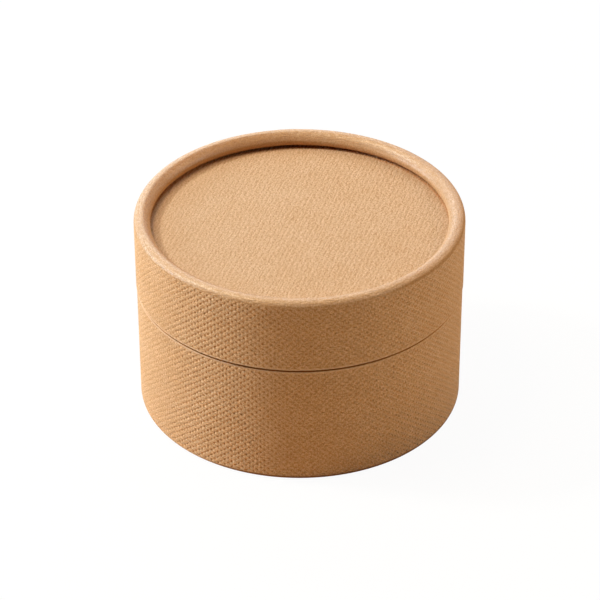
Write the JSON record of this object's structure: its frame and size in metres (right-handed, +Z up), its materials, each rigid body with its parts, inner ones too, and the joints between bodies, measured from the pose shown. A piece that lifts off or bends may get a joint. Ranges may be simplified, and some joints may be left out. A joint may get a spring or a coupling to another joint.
{
  "type": "cylindrical gift tube box",
  "caption": "Round kraft paper gift tube box: a wrapped base with an inner neck, and a lid with a rolled rim and a sunken panel that lifts off and turns.",
  "frame": {"origin": "centre of the underside, on the surface that the box stands on", "axes": "+Z up along the axis of the tube; the box is round, and the laps of its papers lie towards +Y, at the back"},
  "size_m": [0.08, 0.08, 0.051],
  "materials": {
    "embossed_kraft": "matte kraft paper, embossed all over with small slanting dents",
    "plain_kraft": "matte smooth kraft paper with fine fibres",
    "wound_board": "matte grey-brown board in plies, cut at its edges"
  },
  "bodies": {
    "base": {"base_outer_wrap": "embossed_kraft", "base_board_tube": "wound_board", "base_bottom_board": "wound_board", "base_underside_paper": "plain_kraft", "base_floor_paper": "plain_kraft", "neck_outer_facing": "plain_kraft", "neck_board_tube": "wound_board", "neck_inner_lining": "plain_kraft"},
    "lid_lining": {"lid_inner_lining": "plain_kraft"},
    "lid": {"lid_outer_wrap": "embossed_kraft", "lid_board_tube": "wound_board", "lid_top_facing": "embossed_kraft", "lid_top_board": "wound_board", "lid_ceiling_paper": "plain_kraft"}
  },
  "joints": [
    {"name": "lid_lift", "type": "slide", "parent": "base", "child": "lid_lining", "axis": [0, 0, 1], "range_m": [0, 0.04]},
    {"name": "lid_turn", "type": "hinge", "parent": "lid_lining", "child": "lid", "pos_m": [0, 0, 0.0385], "axis": [0, 0, 1], "continuous": true}
  ]
}
